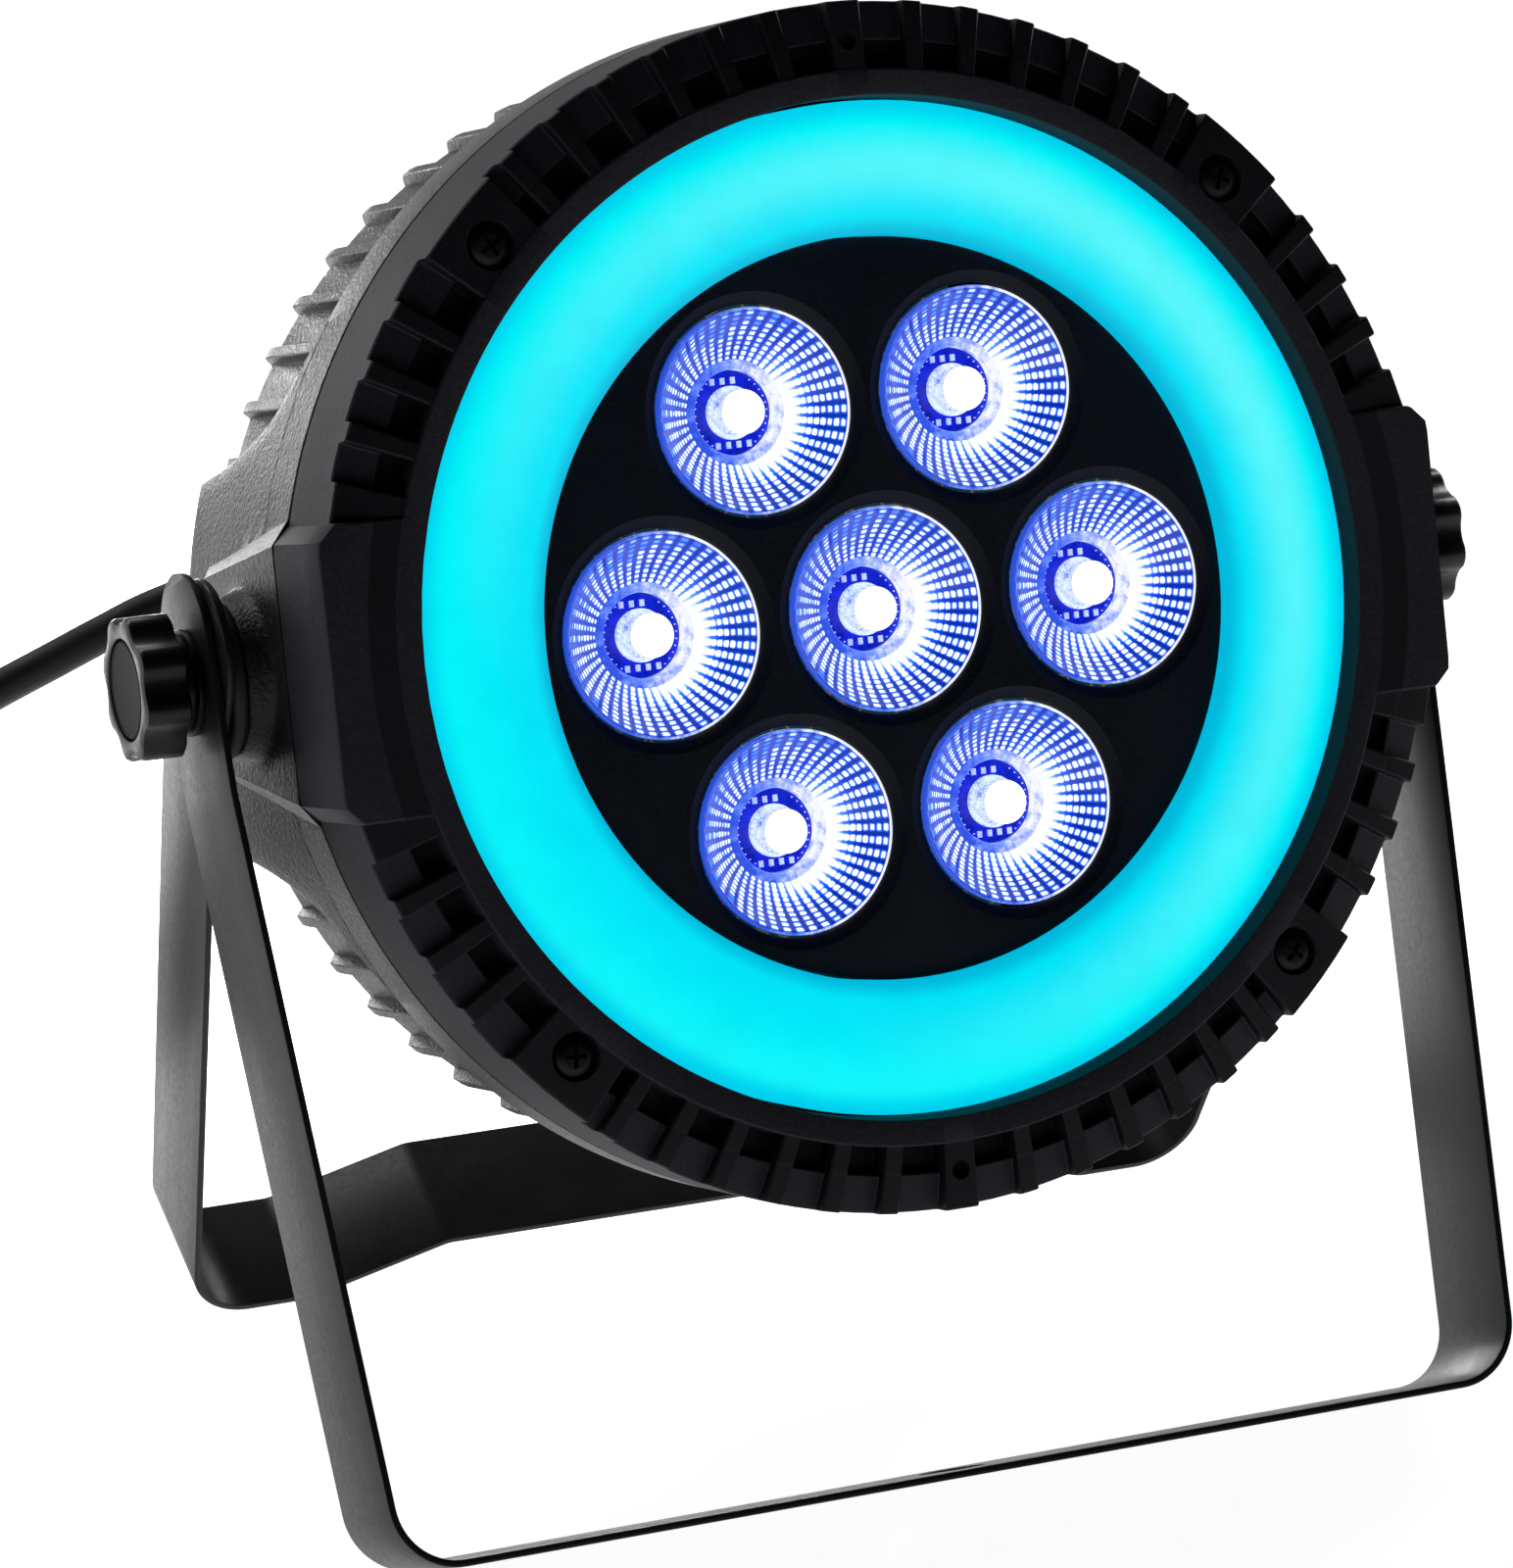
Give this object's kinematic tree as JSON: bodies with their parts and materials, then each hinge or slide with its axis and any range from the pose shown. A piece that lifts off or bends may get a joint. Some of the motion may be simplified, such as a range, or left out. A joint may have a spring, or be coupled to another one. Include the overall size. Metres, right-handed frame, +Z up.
{
  "type": "par can light",
  "caption": "Flat LED par light with a glowing halo ring around its optics, standing on a splayed double bracket with star knobs and a mains lead.",
  "frame": {"origin": "on the surface the lamp stands on, under the middle of its box without the mains lead", "axes": "+X to the right seen from the front and along the pivot axis, -Y the way the lamp faces, +Z up"},
  "size_m": [0.3787, 0.344, 0.2881],
  "materials": {
    "housing_plastic": "fine spark-eroded grain",
    "plate_black": "satin black",
    "halo_diffuser": "translucent opal lit cyan",
    "optic_clear": "clear moulded optic lit blue",
    "emitter": "lit source under clear dome",
    "circuit_board": "solder mask",
    "heat_sink": "as cast",
    "display_window": "dark red window",
    "button_rubber": "matt",
    "socket_metal": "black chrome flange",
    "gland_rubber": "matt",
    "zinc_steel": "zinc plated",
    "screw_black": "black oxide",
    "brass": "knurled",
    "knob_plastic": "satin moulded",
    "bracket_paint": "fine powder coat",
    "cable_rubber": "matt sheath",
    "plug_rubber": "moulded"
  },
  "bodies": {
    "head": {"front_bezel": "housing_plastic", "rear_housing": "housing_plastic", "halo_diffuser": "halo_diffuser", "optic_plate": "plate_black", "led_optic_1": "optic_clear", "led_emitter_1": "emitter", "led_optic_2": "optic_clear", "led_emitter_2": "emitter", "led_optic_3": "optic_clear", "led_emitter_3": "emitter", "led_optic_4": "optic_clear", "led_emitter_4": "emitter", "led_optic_5": "optic_clear", "led_emitter_5": "emitter", "led_optic_6": "optic_clear", "led_emitter_6": "emitter", "led_optic_7": "optic_clear", "led_emitter_7": "emitter", "main_led_board": "circuit_board", "halo_led_board": "circuit_board", "heat_sink": "heat_sink", "power_supply": "circuit_board", "control_board": "circuit_board", "control_panel": "plate_black", "connector_plate": "housing_plastic", "display_window": "display_window", "dmx_socket_1": "socket_metal", "dmx_socket_2": "socket_metal", "cable_gland": "gland_rubber", "safety_eyelet": "zinc_steel", "bezel_screw_1": "screw_black", "bezel_screw_2": "screw_black", "bezel_screw_3": "screw_black", "bezel_screw_4": "screw_black", "threaded_insert_right": "brass", "rubber_washer_right": "cable_rubber", "threaded_insert_left": "brass", "rubber_washer_left": "cable_rubber", "power_cable": "cable_rubber", "cable_coil": "cable_rubber", "cable_tail": "cable_rubber", "power_plug": "plug_rubber"},
    "front_bracket": {"front_bracket": "bracket_paint"},
    "rear_bracket": {"rear_bracket": "bracket_paint"},
    "right_clamp": {"knob_washer_right": "zinc_steel"},
    "right_knob": {"star_knob_right": "knob_plastic", "knob_cap_right": "knob_plastic", "knob_stud_right": "zinc_steel"},
    "left_clamp": {"knob_washer_left": "zinc_steel"},
    "left_knob": {"star_knob_left": "knob_plastic", "knob_cap_left": "knob_plastic", "knob_stud_left": "zinc_steel"},
    "menu_button_1": {"menu_button_1": "button_rubber"},
    "menu_button_2": {"menu_button_2": "button_rubber"},
    "menu_button_3": {"menu_button_3": "button_rubber"},
    "menu_button_4": {"menu_button_4": "button_rubber"}
  },
  "joints": [
    {"name": "front_bracket_swing", "type": "hinge", "parent": "head", "child": "front_bracket", "pos_m": [0, 0.00346, 0.16079], "axis": [1, 0, 0], "range_deg": [-180, 78]},
    {"name": "rear_bracket_swing", "type": "hinge", "parent": "head", "child": "rear_bracket", "pos_m": [0, 0.00346, 0.16079], "axis": [1, 0, 0], "range_deg": [-225, 30]},
    {"name": "right_knob_back_off", "type": "slide", "parent": "head", "child": "right_clamp", "axis": [1, 0, 0], "range_m": [0, 0.0025]},
    {"name": "right_knob_turn", "type": "hinge", "parent": "right_clamp", "child": "right_knob", "pos_m": [0, 0.00346, 0.16079], "axis": [1, 0, 0], "range_deg": [0, 720]},
    {"name": "left_knob_back_off", "type": "slide", "parent": "head", "child": "left_clamp", "axis": [-1, 0, 0], "range_m": [0, 0.0025]},
    {"name": "left_knob_turn", "type": "hinge", "parent": "left_clamp", "child": "left_knob", "pos_m": [0, 0.00346, 0.16079], "axis": [-1, 0, 0], "range_deg": [0, 720]},
    {"name": "menu_button_1_press", "type": "slide", "parent": "head", "child": "menu_button_1", "axis": [0, -0.9367, 0.3502], "range_m": [0, 0.001], "stiffness_N_per_m": 800, "springref_m": -0.0006},
    {"name": "menu_button_2_press", "type": "slide", "parent": "head", "child": "menu_button_2", "axis": [0, -0.9367, 0.3502], "range_m": [0, 0.001], "stiffness_N_per_m": 800, "springref_m": -0.0006},
    {"name": "menu_button_3_press", "type": "slide", "parent": "head", "child": "menu_button_3", "axis": [0, -0.9367, 0.3502], "range_m": [0, 0.001], "stiffness_N_per_m": 800, "springref_m": -0.0006},
    {"name": "menu_button_4_press", "type": "slide", "parent": "head", "child": "menu_button_4", "axis": [0, -0.9367, 0.3502], "range_m": [0, 0.001], "stiffness_N_per_m": 800, "springref_m": -0.0006}
  ],
  "couplings": [
    {"joint": "right_knob_turn", "follows": "right_knob_back_off", "rad_per_m": 5026.5},
    {"joint": "left_knob_turn", "follows": "left_knob_back_off", "rad_per_m": 5026.5}
  ]
}
